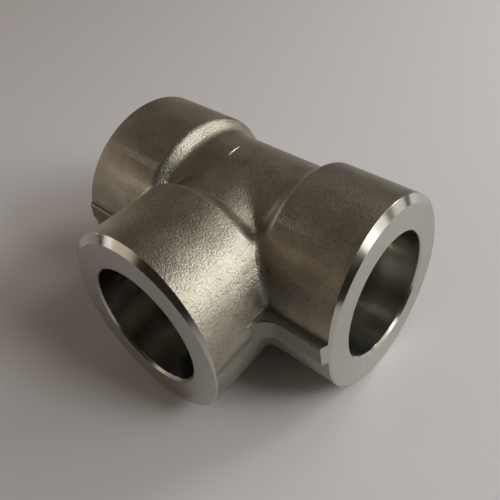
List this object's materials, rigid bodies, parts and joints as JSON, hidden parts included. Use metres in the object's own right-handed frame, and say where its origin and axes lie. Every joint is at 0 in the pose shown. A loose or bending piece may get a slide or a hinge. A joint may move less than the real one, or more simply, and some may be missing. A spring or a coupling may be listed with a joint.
{
  "type": "pipe tee",
  "caption": "Forged socket-weld pipe tee: equal run and branch bosses with bored sockets, turned faces and a trimmed parting band.",
  "frame": {"origin": "where the axis of the run and the axis of the branch cross, in the middle of the flow passage", "axes": "+X along the run, -Y out through the branch, +Z square to both, up as the tee lies on its side"},
  "size_m": [0.0558, 0.0447, 0.0336],
  "materials": {
    "forged_steel": "blasted forged skin with bright turned faces, bevels and sockets"
  },
  "bodies": {
    "root": {"tee_body": "forged_steel"}
  },
  "joints": []
}
